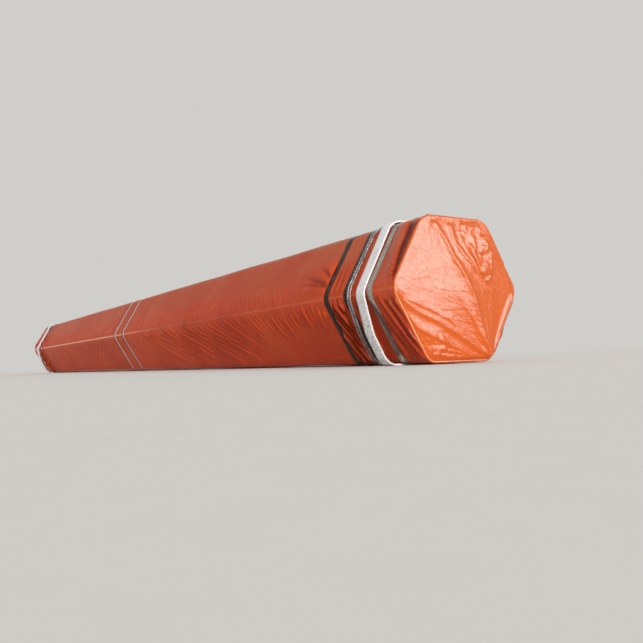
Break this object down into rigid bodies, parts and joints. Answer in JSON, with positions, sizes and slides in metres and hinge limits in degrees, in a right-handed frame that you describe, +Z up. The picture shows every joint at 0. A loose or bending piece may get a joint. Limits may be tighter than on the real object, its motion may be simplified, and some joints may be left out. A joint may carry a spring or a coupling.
{
  "type": "wrapped bundle of steel pipes",
  "caption": "Hexagonal bundle of nested steel pipes in an orange-red woven plastic wrap, clamped by flat steel straps, with a webbing sling and wire rope loops at each end.",
  "frame": {"origin": "on the floor, under the middle of the bundle", "axes": "+X along the pipes, +Z up, -Y to the side on which the slings and ropes hang slack"},
  "size_m": [6.4176, 0.5944, 0.5363],
  "materials": {
    "pipe_steel": "mill",
    "woven_sheet": "gloss",
    "strap_steel": "bright galvanised",
    "seal_steel": "galvanised",
    "webbing": "woven",
    "rope_steel": "oiled",
    "ferrule_metal": "pressed"
  },
  "bodies": {
    "root": {"pipe_row_1": "pipe_steel", "pipe_row_2": "pipe_steel", "pipe_row_3": "pipe_steel", "pipe_row_4": "pipe_steel", "pipe_row_5": "pipe_steel", "wrap": "woven_sheet", "outer_straps": "strap_steel", "second_straps": "strap_steel", "third_straps": "strap_steel", "middle_straps": "strap_steel", "outer_strap_seals": "seal_steel", "second_strap_seals": "seal_steel", "third_strap_seals": "seal_steel", "middle_strap_seals": "seal_steel", "sling_1": "webbing", "sling_2": "webbing", "outer_wire_ropes": "rope_steel", "inner_wire_ropes": "rope_steel", "outer_rope_ferrules": "ferrule_metal", "inner_rope_ferrules": "ferrule_metal"}
  },
  "joints": []
}
